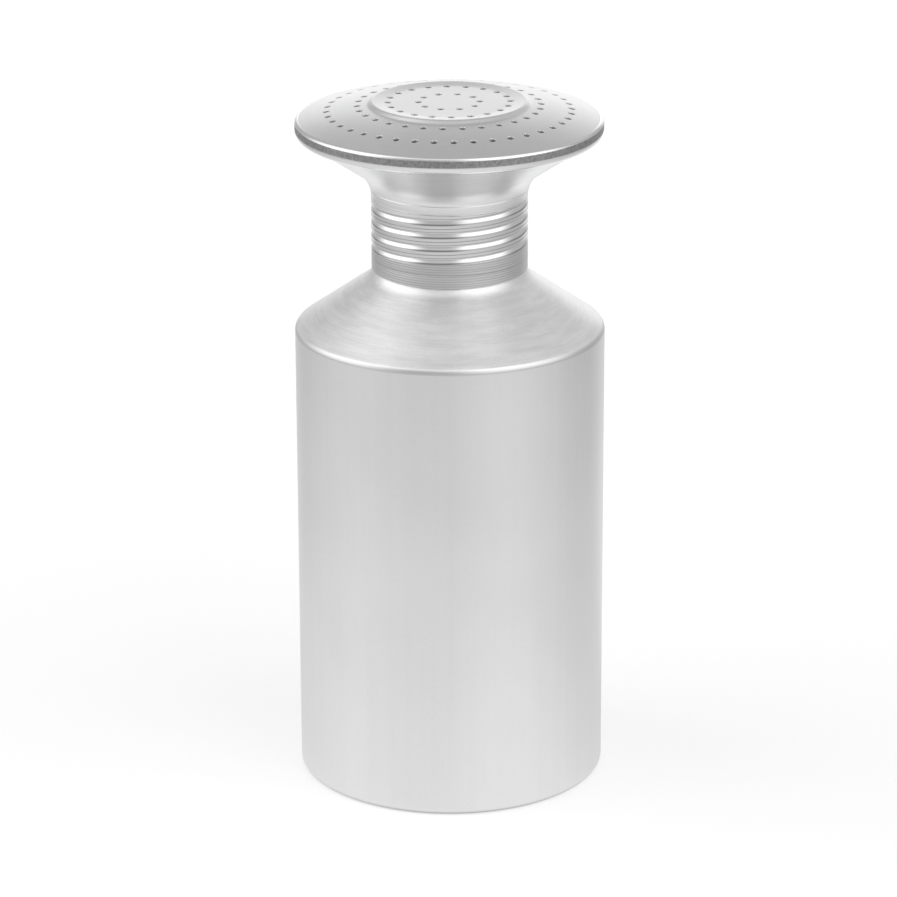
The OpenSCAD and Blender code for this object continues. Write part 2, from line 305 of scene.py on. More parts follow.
def turned(points, closed, mark=None):
    """Vertices, quads and row numbers of an outline of (r, z) points turned about Z. The outline
    keeps its solid on the left. mark gives a vertex's (radius, value) from its row and angle."""
    verts, values, rows = [], [], []
    for row, (r, z) in enumerate(points):
        if r < 1e-7:
            rows.append([len(verts)] * SEGMENTS)
            verts.append((0, 0, z))
            values.append(0)
            continue
        rows.append(range(len(verts), len(verts) + SEGMENTS))
        for i in range(SEGMENTS):
            a = math.tau * i / SEGMENTS
            radius, value = mark(row, a) if mark else (r, 0)
            verts.append((radius * math.cos(a), radius * math.sin(a), z))
            values.append(value)
    faces, face_rows = [], []
    count = len(rows)
    for row in range(count if closed else count - 1):
        low, high = rows[row], rows[(row + 1) % count]
        for i in range(SEGMENTS):
            j = (i + 1) % SEGMENTS
            corners = [low[i], low[j], high[j], high[i]]
            corners = [v for k, v in enumerate(corners) if v != corners[k - 1]]
            if len(corners) > 2:
                faces.append(corners)
                face_rows.append(row)
    return verts, faces, face_rows, values


def new_object(name, verts, faces, finishes, face_finish=None, values=None, weld=0):
    """A smooth-shaded mesh object. values become the point attribute that finishes read."""
    mesh = bpy.data.meshes.new(name)
    mesh.from_pydata(verts, [], faces)
    for finish in finishes:
        mesh.materials.append(finish)
    if face_finish:
        mesh.polygons.foreach_set("material_index", face_finish)
    if values:
        mesh.attributes.new("zone", "FLOAT", "POINT").data.foreach_set("value", values)
    if weld:
        shaped = bmesh.new()
        shaped.from_mesh(mesh)
        bmesh.ops.remove_doubles(shaped, verts=shaped.verts, dist=weld)
        shaped.to_mesh(mesh)
        shaped.free()
    mesh.polygons.foreach_set("use_smooth", [True] * len(mesh.polygons))
    mesh.validate()
    piece = bpy.data.objects.new(name, mesh)
    bpy.context.scene.collection.objects.link(piece)
    return piece


# -------- node trees


def operator(operation, reflected=False):
    """The method for an operator of Wire, or for its reflected form."""
    def method(self, other):
        return self.tree.maths(operation, *((other, self) if reflected else (self, other)))
    return method


class Wire:
    """A socket's value. Arithmetic on it adds Math nodes."""

    def __init__(self, tree, socket):
        self.tree = tree
        self.socket = socket

    def math(self, operation, *values):
        """This value put through a Math node, with the other values after it."""
        return self.tree.maths(operation, self, *values)

    __add__ = __radd__ = operator("ADD")
    __sub__, __rsub__ = operator("SUBTRACT"), operator("SUBTRACT", reflected=True)
    __mul__ = __rmul__ = operator("MULTIPLY")
    __truediv__, __rtruediv__ = operator("DIVIDE"), operator("DIVIDE", reflected=True)
    __pow__ = operator("POWER")


class Tree:
    """A node tree that is written as expressions."""

    def __init__(self, nodes_of):
        nodes_of.use_nodes = True
        self.tree = nodes_of.node_tree
        self.tree.nodes.clear()

    def node(self, kind, settings=None, inputs=None, output=0):
        """Adds a node, with its settings first and then the values or links of its sockets."""
        made = self.tree.nodes.new(kind)
        for key, value in (settings or {}).items():
            setattr(made, key, value)
        for key, value in (inputs or {}).items():
            if isinstance(value, Wire):
                self.tree.links.new(value.socket, made.inputs[key])
            else:
                made.inputs[key].default_value = value
        return Wire(self, made.outputs[output]) if len(made.outputs) else made

    def maths(self, operation, *values):
        """A Math node on the values, in the order of its sockets."""
        return self.node("ShaderNodeMath", {"operation": operation}, dict(enumerate(values)))

    def xyz(self, wire):
        """The three parts of a vector."""
        split = self.node("ShaderNodeSeparateXYZ", None, {0: wire})
        return [Wire(self, socket) for socket in split.socket.node.outputs]

    def vector(self, x, y, z):
        """A vector from its three parts."""
        return self.node("ShaderNodeCombineXYZ", None, {0: x, 1: y, 2: z})

    def noise(self, vector, scale=1, detail=2, roughness=0.5):
        """A noise value from 0 to 1."""
        return self.node("ShaderNodeTexNoise", {"noise_dimensions": "3D"},
                         {"Vector": vector, "Scale": scale, "Detail": detail,
                          "Roughness": roughness})

    def span(self, value, low, high, to_low=0, to_high=1):
        """Maps low..high to to_low..to_high with soft ends, and clamps."""
        return self.node("ShaderNodeMapRange", {"interpolation_type": "SMOOTHSTEP"},
                         {"Value": value, "From Min": low, "From Max": high,
                          "To Min": to_low, "To Max": to_high})

    def mix_colour(self, factor, a, b):
        """A blend of two colours."""
        return self.node("ShaderNodeMix", {"data_type": "RGBA"},
                         {"Factor": factor, "A": a, "B": b}, output="Result")


class Finish(Tree):
    """A material that is laid out in the piece's own space."""

    def __init__(self, name):
        self.material = bpy.data.materials.new(name)
        super().__init__(self.material)
        place = self.node("ShaderNodeTexCoord", output="Object")
        self.place = place
        self.x, self.y, self.z = self.xyz(place)
        self.radius = (self.x * self.x + self.y * self.y) ** 0.5

    def around(self, along_profile, stretch):
        """Noise space whose cells are long round the axis and short along the profile."""
        away = self.radius + 0.0001
        return self.vector(along_profile, self.x / away * stretch, self.y / away * stretch)

    def bump(self, height, distance):
        """A bump of a height from 0 to 1 that is distance metres deep."""
        return self.node("ShaderNodeBump", None, {"Distance": distance, "Height": height})

    def shader(self, **sockets):
        """The Principled shader. Socket names have _ for a space."""
        named = {key.replace("_", " "): value for key, value in sockets.items()}
        self.surface(self.node("ShaderNodeBsdfPrincipled", None, named))
        return self.material

    def surface(self, shader):
        self.node("ShaderNodeOutputMaterial", None, {"Surface": shader})


def tint(rgb, level=1):
    """A colour with its alpha, at a share of its brightness."""
    return (rgb[0] * level, rgb[1] * level, rgb[2] * level, 1)


# -------- finishes


def formed_bottle(metal, roughness, corner_lo, corner_hi):
    """Outside of the bottle: an etched side with a fine grain and soft cloudiness, a corner whose
    lower part is painted darker as painted shade that dims its highlight, with a painted shade line
    along its lower edge, and a shoulder with the tool's rings, uneven round it."""
    f = Finish("formed_bottle")
    low = f.span(f.z, corner_lo - 0.0001, corner_lo + 0.0003)
    high = f.span(f.z, corner_lo + 0.0006, corner_hi - 0.0001)
    grain = f.noise(f.place, scale=2200, detail=2)

    clouds = f.noise(f.place, scale=30, detail=3)
    draws = f.noise(f.vector(f.x * 420, f.y * 420, f.z * 9), detail=2)
    etched = clouds * 0.5 + draws * 0.2 + grain * 0.3
    side = f.mix_colour(f.span(etched, 0.35, 0.65), tint(metal, 0.97), tint(metal, 1.02))

    fine = f.noise(f.around(f.radius * 4200, 2.2), detail=3, roughness=0.7)
    bands = f.noise(f.around(f.radius * 700, 2.6), detail=2, roughness=0.6)
    patches = f.noise(f.around(f.radius * 120, 3.5), detail=2)
    rings = fine * 0.4 + bands * 0.6
    worked = rings * 0.6 + patches * 0.2 + grain * 0.2
    shoulder = f.mix_colour(f.span(worked, 0.36, 0.64), tint(metal, 0.98), tint(metal, 1.14))

    # Painted shade: a thin dark line along the corner's lower edge, at 0.2 of the metal.
    painted_shade_line = f.span((f.z - corner_lo).math("ABSOLUTE"), 0.00005, 0.0003, 0.16, 0)
    # Painted shade: the corner band between low and high takes the metal at 0.84, which dims the
    # corner's highlight.
    plain = f.mix_colour(high, f.mix_colour(low, side, tint(metal, 0.84)), shoulder)
    matte = draws * 0.03 + clouds * 0.02 + (roughness - 0.03)
    return f.shader(
        Base_Color=f.mix_colour(painted_shade_line, plain, tint(metal, 0.2)),
        Metallic=1.0,
        Roughness=(matte * (1 - low) + low * 0.4) * (1 - high) + high * (rings * 0.16 + 0.33),
        Anisotropic=0.15,
        Anisotropic_Rotation=0.25,
        Normal=f.bump(grain * 0.004 + rings * high * 0.02, 0.001),
    )


# Painted shade lines along a groove, in metres: height above the groove's middle, half width and
# darkness
GROOVE_SHADE_LINES = [
    (0.00086, 0.00017, 0.5),
    (-0.00066, 0.0003, 0.6),
]
LAND_LINE = (0.0002, 0.45)      # the line between two grooves: half width and darkness


def worked_funnel(metal, turned_metal, feed, screw):
    """Outside of the funnel: a skirt with turned lines, bright rolled grooves with painted shade
    lines along their edges and a dark line on each land, and a spun throat and bell. The mesh says
    which zone a place is in."""
    f = Finish("worked_funnel")
    thread = screw.thread
    zone = f.node("ShaderNodeAttribute", {"attribute_name": "zone"}, output="Fac")
    rolled, spun = f.span(zone, 0.3, 0.7), f.span(zone, 1.3, 1.7)

    rings = f.noise(f.around((f.radius + f.z) * 2600, 1.2), detail=3, roughness=0.6)
    ridges = (((f.z * (1 / feed)).math("FRACT") - 0.5).math("ABSOLUTE")) * 2
    fine = f.noise(f.around(f.z * 6500, 0.8), detail=3, roughness=0.7)
    broad = f.noise(f.around(f.z * 1300, 0.6), detail=1)
    turned_lines = ridges * 0.4 + fine * 0.35 + broad * 0.25

    turn = ((f.z - screw.first_turn) / thread.pitch + 0.5
            - (f.y.math("ARCTAN2", f.x) - thread.start) / math.tau)
    across = (turn.math("FRACT") - 0.5) * thread.pitch
    # marks: painted shade lines along each groove's edges, plus the dark line on each land; they
    # darken Base Color and dent the bump.
    marks = 0
    for height, half, dark in GROOVE_SHADE_LINES:
        marks = f.span((across - height).math("ABSOLUTE"), half * 0.3, half, dark, 0) + marks
    half, dark = LAND_LINE
    marks = f.span(thread.pitch / 2 - across.math("ABSOLUTE"), half * 0.3, half, dark, 0) + marks
    marks = marks * rolled * (1 - spun)

    skirt = f.mix_colour(f.span(turned_lines, 0.3, 0.7), tint(turned_metal, 0.82),
                         tint(turned_metal, 1.12))
    lined = f.span(rings, 0.3, 0.7)
    band = f.mix_colour(lined, tint(metal, 1), tint(metal, 1.035))
    bell = f.mix_colour(lined, tint(metal, 1.03), tint(metal, 1.11))
    sheet = f.mix_colour(spun, band, bell)
    whole = f.mix_colour(rolled, skirt, sheet)
    height = turned_lines * (1 - rolled) * 0.03 + rings * rolled * (spun + 1) * 0.002 - marks * 0.03
    return f.shader(
        Base_Color=f.mix_colour(marks, whole, tint(metal, 0.1)),
        Metallic=1.0,
        Roughness=(1 - rolled) * (turned_lines * 0.2 + 0.3) + rolled * (spun * 0.12 + 0.2),
        Anisotropic=0.4,
        Anisotropic_Rotation=0.25,
        Normal=f.bump(height, 0.001),
    )


def drawn_inside(metal):
    """Inner surfaces as the press left them."""
    f = Finish("drawn_inside")
    marks = f.noise(f.vector(f.x * 700, f.y * 700, f.z * 60), detail=3)
    return f.shader(
        Base_Color=f.mix_colour(marks, tint(metal, 0.8), tint(metal, 0.95)),
        Metallic=1.0,
        Roughness=marks * 0.15 + 0.38,
        Normal=f.bump(marks, 0.00001),
    )


def cut_edge(metal):
    """Turned edges, lips and the neck."""
    f = Finish("cut_edge")
    lines = f.noise(f.around((f.z + f.radius) * 7000, 1), detail=2)
    return f.shader(
        Base_Color=f.mix_colour(lines, tint(metal, 0.86), tint(metal, 1.02)),
        Metallic=1.0,
        Roughness=lines * 0.15 + 0.22,
        Normal=f.bump(lines, 0.00001),
    )


def matte_sieve(metal):
    """Top of the sieve: an even fine matte with faint rings."""
    f = Finish("matte_sieve")
    grain = f.noise(f.place, scale=2400, detail=2)
    rings = f.noise(f.around(f.radius * 2200, 1.4), detail=2)
    clouds = f.noise(f.place, scale=60, detail=2)
    shade = rings * 0.3 + clouds * 0.4 + grain * 0.3
    return f.shader(
        Base_Color=f.mix_colour(f.span(shade, 0.35, 0.65), tint(metal, 0.955), tint(metal, 1.02)),
        Metallic=1.0,
        Roughness=grain * 0.06 + 0.34,
        Normal=f.bump(grain * 0.7 + rings * 0.3, 0.000004),
    )


def rolled_rim(metal, low, high):
    """Rim: a bright rolled edge and curl, and between two heights a side painted much darker and
    rougher, scored aslant by the crimping wheel."""
    f = Finish("rolled_rim")
    side = f.span(f.z, low - 0.0001, low + 0.0002) * f.span(f.z, high - 0.0001, high + 0.0001, 1, 0)
    angle_ = f.y.math("ARCTAN2", f.x)
    scores = f.noise(f.vector(f.z * 2500 + angle_ * 90, angle_ * 60, 0), detail=3, roughness=0.7)
    pits = f.noise(f.place, scale=1300, detail=2)
    wear = scores * 0.6 + pits * 0.4
    # Between the two heights the colour is darkened to 0.34–0.58 of the metal.
    darkened_side = f.mix_colour(f.span(wear, 0.35, 0.65), tint(metal, 0.34), tint(metal, 0.58))
    bright = f.mix_colour(wear, tint(metal, 0.98), tint(metal, 1.08))
    return f.shader(
        Base_Color=f.mix_colour(side, bright, darkened_side),
        Metallic=1.0,
        Roughness=side * (wear * 0.2 + 0.2) + 0.2,
        Normal=f.bump(wear * side, 0.00003),
    )


def punched_wall(metal):
    """Walls of the holes, torn rough by the punch."""
    f = Finish("punched_wall")
    torn = f.noise(f.vector(f.x * 5000, f.y * 5000, f.z * 900), detail=2)
    return f.shader(
        Base_Color=f.mix_colour(torn, tint(metal, 0.5), tint(metal, 0.75)),
        Metallic=0.7,
        Roughness=torn * 0.2 + 0.45,
        Normal=f.bump(torn, 0.00002),
    )


def soft_rubber(rubber):
    """Translucent white rubber of the seal."""
    f = Finish("soft_rubber")
    bloom = f.noise(f.place, scale=900, detail=2)
    return f.shader(
        Base_Color=f.mix_colour(bloom, tint(rubber, 0.95), tint(rubber, 1.03)),
        Roughness=bloom * 0.1 + 0.42,
        Subsurface_Weight=0.2,
        Subsurface_Scale=0.001,
        Normal=f.bump(bloom, 0.00001),
    )


# -------- pieces


def head_levels(scene):
    """Heights that the funnel, the neck and the sieve share."""
    t, u = scene.shaker_thread, scene.shaker_funnel
    first_turn = FUNNEL_LO.z + u.skirt_height
    throat = first_turn + t.turns * t.pitch + u.throat_rise
    return first_turn, throat


class SHAKER_OT_bottle(bpy.types.Operator):
    """Builds the bottle with its threaded neck"""

    bl_idname = "shaker.bottle"
    bl_label = "Bottle"

    def outline(self, b):
        """Outline from the middle of the base, up the outside and down the inside."""
        R, relief = b.body_radius, b.relief_radius
        turn = UP - b.shoulder_slope
        tangent = b.shoulder_corner * math.tan(turn / 2)
        corner_z = b.shoulder_height - tangent
        foot = R - b.base_corner - b.foot_width
        punt = (foot ** 2 + b.punt_rise ** 2) / (2 * b.punt_rise)
        flare_z = (b.shoulder_height + (R - relief) * math.tan(b.shoulder_slope)
                   + b.flare * math.tan(turn / 2))
        lip = BOTTLE_HI.z
        thread_lo, thread_hi = flare_z + b.relief_height, lip - b.pilot_height
        bore = relief - b.wall
        inner_corner = b.shoulder_corner - b.wall

        parts = [("base", arc(0, b.punt_rise - punt, punt, UP, UP - math.asin(foot / punt), 24)),
                 ("side", arc(R - b.base_corner, b.base_corner, b.base_corner, DOWN, OUT)),
                 ("side", arc(R - b.shoulder_corner, corner_z, b.shoulder_corner, OUT, turn, 16)),
                 ("shoulder", arc(relief + b.flare, flare_z, b.flare, IN + turn, IN, 20)),
                 ("neck", [(relief, thread_lo)]),
                 ("thread", [(relief, thread_lo + ROW_GAP), (relief, thread_hi - ROW_GAP)]),
                 ("neck", [(relief, thread_hi)]),
                 ("neck", arc(relief - b.lip_round, lip - b.lip_round, b.lip_round, OUT, UP, 6)),
                 ("neck", arc(bore + b.lip_round, lip - b.lip_round, b.lip_round, UP, IN, 6)),
                 ("inside", arc(relief + b.flare, flare_z, b.flare + b.wall, IN, IN + turn, 16)),
                 ("inside", arc(R - b.shoulder_corner, corner_z, inner_corner, turn, OUT)),
                 ("inside", arc(R - b.base_corner, b.floor_height + b.base_corner - b.wall,
                                b.base_corner - b.wall, OUT, DOWN)),
                 ("inside", [(0, b.floor_height)])]
        return joined(parts, {"thread"}, 0.004)

    def execute(self, context):
        scene = context.scene
        b, t, u = scene.shaker_bottle, scene.shaker_thread, scene.shaker_funnel
        screw = Screw(t, head_levels(scene)[0])
        land = u.collar_radius - u.wall - t.gap
        points, zones = self.outline(b)
        half = t.ridge / 2 + t.flank_gap

        def mark(row, a):
            r, z = points[row]
            if zones[row] != "thread":
                return r, 0
            depth = screw.share(a, z, half, half, fades=False)
            return land - depth * t.depth, depth

        verts, faces, face_rows, values = turned(points, closed=False, mark=mark)
        turn = UP - b.shoulder_slope
        corner_lo = b.shoulder_height - b.shoulder_corner * math.tan(turn / 2)
        corner_hi = corner_lo + b.shoulder_corner * math.sin(turn)
        finishes = [formed_bottle(b.metal, b.roughness, corner_lo, corner_hi), cut_edge(b.metal),
                    drawn_inside(b.metal)]
        finish_of = {"base": 0, "side": 0, "shoulder": 0, "neck": 1, "thread": 1, "inside": 2}
        face_finish = [finish_of[zones[row + 1]] for row in face_rows]
        piece = new_object("bottle_shell", verts, faces, finishes, face_finish, values)
        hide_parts("bottle")
        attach(piece, "bottle")
        return {"FINISHED"}


class SHAKER_OT_funnel(bpy.types.Operator):
    """Builds the funnel with its threaded collar"""

    bl_idname = "shaker.funnel"
    bl_label = "Funnel"

    def outline(self, scene):
        """Closed outline from the collar's edge up the outside and down the inside."""
        u, s, t = scene.shaker_funnel, scene.shaker_sieve, scene.shaker_thread
        first_turn, throat_z = head_levels(scene)
        R, wall = u.collar_radius, u.wall
        edge = 0.00012              # rounding of the collar's lower edge
        bell_start = IN - 0.26      # where the throat's curve passes into the bell
        low = FUNNEL_LO.z
        throat_r = R + u.throat
        cone, bell_end = UP + u.cone_slope, UP + u.bell_slope
        fold_r = s.rim_radius - s.curl
        joggle = fold_r - s.lap - s.gap
        cone_r1 = joggle - u.bell * (math.sin(u.cone_slope) - math.sin(u.bell_slope))
        cone_r0 = throat_r - u.throat * math.sin(u.cone_slope)
        cone_z1 = (throat_z + u.throat * math.cos(u.cone_slope)
                   + (cone_r1 - cone_r0) * math.tan(u.cone_slope))
        bell_r = cone_r1 + u.bell * math.sin(u.cone_slope)
        bell_z = cone_z1 - u.bell * math.cos(u.cone_slope)
        rim_z = bell_z + u.bell * math.cos(u.bell_slope)
        flat = rim_z + s.thickness
        flange = s.curl - s.thickness - s.gap
        flange_z = rim_z + s.curl - s.gap
        top = FUNNEL_HI.z
        grip = 0.00015              # rounding of the crimped edges
        parts = [("edge", arc(R - wall + edge, low + edge, edge, IN, IN + UP, 4)),
                 ("skirt", arc(R - edge, low + edge, edge, DOWN, OUT, 4)),
                 ("skirt", [(R, first_turn - t.pitch)]),
                 ("thread", [(R, first_turn - 0.9 * t.pitch), (R, throat_z)]),
                 ("thread", arc(throat_r, throat_z, u.throat, IN, bell_start, 24)),
                 ("bell", arc(throat_r, throat_z, u.throat, bell_start, cone, 24)),
                 ("bell", arc(bell_r, bell_z, u.bell, cone, bell_end, 14)),
                 ("bell", arc(joggle - grip, flat - 3 * grip, grip, bell_end, OUT, 3)),
                 ("edge", [(joggle, flat)]),
                 ("edge", arc(fold_r, flange_z, flange, DOWN, OUT, 8)),
                 ("edge", arc(fold_r + flange - grip, top - grip, grip, OUT, UP, 4)),
                 ("edge", arc(fold_r + flange - wall + grip, top - grip, grip, UP, IN, 4)),
                 ("edge", arc(fold_r, flange_z, flange - wall, OUT, DOWN, 8)),
                 ("inside", [(joggle, flat + wall)]),
                 ("inside", arc(bell_r, bell_z, u.bell + wall, bell_end + 0.035, cone, 10)),
                 ("inside", arc(throat_r, throat_z, u.throat + wall, cone, bell_start, 20)),
                 ("ridge", arc(throat_r, throat_z, u.throat + wall, bell_start, IN, 24)),
                 ("ridge", [(R - wall, first_turn - 0.9 * t.pitch)]),
                 ("inside", [(R - wall, first_turn - t.pitch)])]
        return joined(parts, {"thread", "ridge"}, 0.002)

    def execute(self, context):
        scene = context.scene
        u, t = scene.shaker_funnel, scene.shaker_thread
        screw = Screw(t, head_levels(scene)[0])
        points, zones = self.outline(scene)
        drawn_out = 1.15    # the lower flank ends in a long fade, so the groove is this much wider
        upper, lower = t.groove * t.lopsided, t.groove * (drawn_out - t.lopsided)
        shift = (lower - upper) / 2

        def mark(row, a):
            r, z = points[row]
            if zones[row] == "thread":
                depth = screw.share(a, z - shift, upper, lower, fades=True)
                return r - depth * t.depth, screw.rolled(a, z)
            if zones[row] == "ridge":
                depth = screw.share(a, z, t.ridge / 2, t.ridge / 2, fades=True)
                return r - depth * t.depth, depth
            return r, 2 if zones[row] == "bell" else 0

        verts, faces, face_rows, values = turned(points, closed=True, mark=mark)
        finishes = [cut_edge(u.metal), worked_funnel(u.metal, u.turned, u.feed, screw),
                    drawn_inside(u.metal)]
        finish_of = {"edge": 0, "skirt": 1, "thread": 1, "bell": 1, "inside": 2, "ridge": 2}
        face_finish = [finish_of[zones[(row + 1) % len(zones)]] for row in face_rows]
        piece = new_object("funnel_sheet", verts, faces, finishes, face_finish, values)
        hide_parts("funnel")
        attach(piece, "head")
        return {"FINISHED"}


class SHAKER_OT_sieve(bpy.types.Operator):
    """Builds the domed sieve with its holes and rolled rim"""

    bl_idname = "shaker.sieve"
    bl_label = "Sieve"

    lip_depth = 0.00012     # rounding of a hole's upper edge
    hole_steps = 24
    flat_soft = 0.0006      # reach of the rounding at the edge of the flat
    crest_soft = 0.00038    # and at the crest of the raised ring
    foot_soft = 0.0003      # and where the ring meets the dome
    spacing = 0.0009        # of the mesh between the holes
    hole_guard = 0.0003     # from a hole to the ring of points round it
    hole_clear = 0.0007     # from a hole to the nearest other point
    wall_foot = 0.0001      # from the under face to a row in the hole's wall
    ring_reach = 0.0024     # from the raised ring's crest inwards to its own mesh's edge
    rim_reach = 0.0018      # from the rim inwards to its own mesh's edge
    ring_steps = 56

    def height(self, r):
        """Height of the sieve's upper face at a radius: flat, raised ring and dome."""
        s = self.sizes
        dome_in = s.crest_radius + s.crest_width
        rise = s.crest_height / (s.crest_radius - s.flat_radius)
        fall = s.crest_fall / s.crest_width
        rounded = self.crest_soft * rise * fall / (rise + fall)
        bends = [(s.flat_radius, self.flat_soft, rise),
                 (s.crest_radius, self.crest_soft, -fall - rise),
                 (dome_in, self.foot_soft, fall - math.tan(s.dome_slope))]
        z = SIEVE_HI.z + rounded - s.crest_height
        z += sum(turn * ramp(r - at, soft) for at, soft, turn in bends)
        return z - max(r - dome_in, 0) ** 2 / (2 * s.dome_radius)

    def centres(self):
        """Centres of all the holes."""
        s = self.sizes
        for ring in range(1, s.rings + 1):
            for i in range(ring * s.ring_holes):
                a = s.first_hole + math.tau * i / (ring * s.ring_holes)
                yield Vector((ring * s.ring_step * math.cos(a), ring * s.ring_step * math.sin(a)))

    def skin(self, inner, outer):
        """Vertices between two radii, the faces of the sheet and the walls of the holes there."""
        s = self.sizes
        hole = s.hole / 2
        centres = [c for c in self.centres() if inner < c.length < outer]
        points, edges, rims = [], [], []

        def add_ring(centre, radius, count, offset=0.0):
            first = len(points)
            for i in range(count):
                a = math.tau * (i + offset) / count
                points.append(centre + radius * Vector((math.cos(a), math.sin(a))))
            edges.extend((first + i, first + (i + 1) % count) for i in range(count))
            return first

        middle = Vector((0, 0))
        for radius in (inner, outer):
            if radius:
                add_ring(middle, radius, SEGMENTS)
        for centre in centres:
            rims.append(add_ring(centre, hole, self.hole_steps))
            for step in (0.35, 1):
                add_ring(centre, hole + step * self.lip_depth, self.hole_steps)
            add_ring(centre, hole + self.hole_guard, self.hole_steps, 0.5)
        ringed = len(edges)
        rows = round((outer - inner) / self.spacing)
        for row in range(0 if inner == 0 else 1, rows):
            radius = inner + (outer - inner) * row / rows
            count = max(1, round(math.tau * radius / self.spacing))
            for i in range(count):
                a = math.tau * (i + 0.5 * (row % 2)) / count
                p = radius * Vector((math.cos(a), math.sin(a)))
                if all((p - c).length > hole + self.hole_clear for c in centres):
                    points.append(p)
        scale = 1000
        flat = [p * scale for p in points]
        made, _, tris, origin, _, _ = delaunay_2d_cdt(flat, edges[:ringed], [], 0, 1e-6)
        index_of = {old: new for new, olds in enumerate(origin) for old in olds}
        flat = [Vector(p) / scale for p in made]

        def kept(tri):
            c = (flat[tri[0]] + flat[tri[1]] + flat[tri[2]]) / 3
            if c.length < inner * math.cos(math.pi / SEGMENTS):
                return False
            return all((c - h).length > hole * 0.995 for h in centres)

        tris = [tri for tri in tris if kept(tri)]

        def lip(p):
            near = min(((p - c).length for c in centres), default=1)
            inside = max(self.lip_depth - max(near - hole, 0), 0)
            return self.lip_depth - math.sqrt(self.lip_depth ** 2 - inside ** 2)

        count = len(flat)
        verts = [(p.x, p.y, self.height(p.length) - lip(p)) for p in flat]
        verts += [(p.x, p.y, self.height(p.length) - s.thickness) for p in flat]
        faces = [list(tri) for tri in tris]
        faces += [[count + v for v in reversed(tri)] for tri in tris]
        walls = []
        for first in rims:
            ring = [index_of[first + i] for i in range(self.hole_steps)]
            middle = range(len(verts), len(verts) + self.hole_steps)
            verts += [(*flat[v], verts[count + v][2] + self.wall_foot) for v in ring]
            for i in range(self.hole_steps):
                j = (i + 1) % self.hole_steps
                walls.append([ring[i], ring[j], middle[j], middle[i]])
                walls.append([middle[i], middle[j], count + ring[j], count + ring[i]])
        return verts, faces, walls

    def rim(self, start):
        """Outline of the rim, from the upper face at a radius round to the under face there."""
        soft = 0.00012      # rounding of the fold's end
        s = self.sizes
        dome_in = s.crest_radius + s.crest_width
        slope = math.atan(math.tan(s.dome_slope)
                          + (s.rim_radius - s.edge - dome_in) / s.dome_radius)
        edge_z = self.height(s.rim_radius - s.edge * (1 - math.sin(slope))) - s.edge * math.cos(slope)
        low = SIEVE_LO.z
        fold_r, fold_z = s.rim_radius - s.curl, low + s.curl
        tip = fold_r - s.lap
        inside_r = s.rim_radius - s.thickness

        def dome(r0, r1, drop, steps):
            return [(r, self.height(r) - drop)
                    for r in (r0 + (r1 - r0) * i / steps for i in range(steps + 1))]

        outer = dome(start, s.rim_radius - s.edge * (1 - math.sin(slope)), 0, 6)
        outer += arc(s.rim_radius - s.edge, edge_z, s.edge, UP - slope, OUT, 12)[1:]
        outer += arc(fold_r, fold_z, s.curl, OUT, DOWN, 16)
        outer += arc(tip + soft, low + soft, soft, DOWN, DOWN - UP, 3)
        outer += arc(tip + soft, low + s.thickness - soft, soft, IN, UP, 3)
        outer += arc(fold_r, fold_z, s.curl - s.thickness, DOWN, OUT, 12)
        outer += dome(inside_r, start, s.thickness, 4)
        return refined(outer, 0.0008)

    def execute(self, context):
        self.sizes = s = context.scene.shaker_sieve
        ring_lo = s.crest_radius - self.ring_reach
        ring_hi = s.crest_radius + s.crest_width + self.foot_soft
        border = s.rim_radius - self.rim_reach
        verts, faces, face_finish = [], [], []

        def add(more_verts, more_faces, finish):
            first = len(verts)
            verts.extend(more_verts)
            faces.extend([first + v for v in face] for face in more_faces)
            face_finish.extend([finish] * len(more_faces))

        for inner, outer in ((0, ring_lo), (ring_hi, border)):
            skin_verts, skin_faces, walls = self.skin(inner, outer)
            add(skin_verts, skin_faces + walls, 0)
            face_finish[-len(walls):] = [2] * len(walls)
        wide = (ring_hi - ring_lo) / self.ring_steps
        ring = [(r, self.height(r)) for r in (ring_lo + wide * i for i in range(self.ring_steps + 1))]
        for outline, drop in ((ring[::-1], 0), (ring, s.thickness)):
            shifted = [(r, z - drop) for r, z in outline]
            add(*turned(shifted, closed=False)[:2], 0)
        rim_outline = self.rim(border)[::-1]
        rim_verts, rim_faces, rim_rows, _ = turned(rim_outline, closed=False)
        add(rim_verts, rim_faces, 1)
        for i, row in enumerate(rim_rows):
            if min(r for r, z in rim_outline[row:row + 2]) < s.rim_radius - s.edge and (
                    rim_outline[row][1] > SIEVE_LO.z + s.side_height + s.edge / 2):
                face_finish[i - len(rim_rows)] = 0
        curl_top = SIEVE_LO.z + s.curl
        finishes = [matte_sieve(s.metal),
                    rolled_rim(s.metal, curl_top - 0.00035, SIEVE_LO.z + s.side_height),
                    punched_wall(s.metal)]
        piece = new_object("sieve_sheet", verts, faces, finishes, face_finish, weld=1e-6)
        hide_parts("sieve_cap")
        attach(piece, "head")
        return {"FINISHED"}


class SHAKER_OT_seal(bpy.types.Operator):
    """Builds the flat seal between neck and throat"""

    bl_idname = "shaker.seal"
    bl_label = "Seal"

    def execute(self, context):
        s = context.scene.shaker_seal
        low, high, soft = SEAL_LO.z, SEAL_HI.z, s.rounding
        out, hole = s.outer_radius, s.inner_radius
        outline = (arc(out - soft, low + soft, soft, DOWN, OUT, 6)
                   + arc(out - soft, high - soft, soft, OUT, UP, 6)
                   + arc(hole + soft, high - soft, soft, UP, IN, 6)
                   + arc(hole + soft, low + soft, soft, IN, IN + UP, 6))
        verts, faces, _, _ = turned(refined(outline, 0.0005), closed=True)
        piece = new_object("seal_washer", verts, faces, [soft_rubber(s.rubber)])
        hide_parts("seal_ring")
        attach(piece, "seal")
        return {"FINISHED"}


# -------- stage

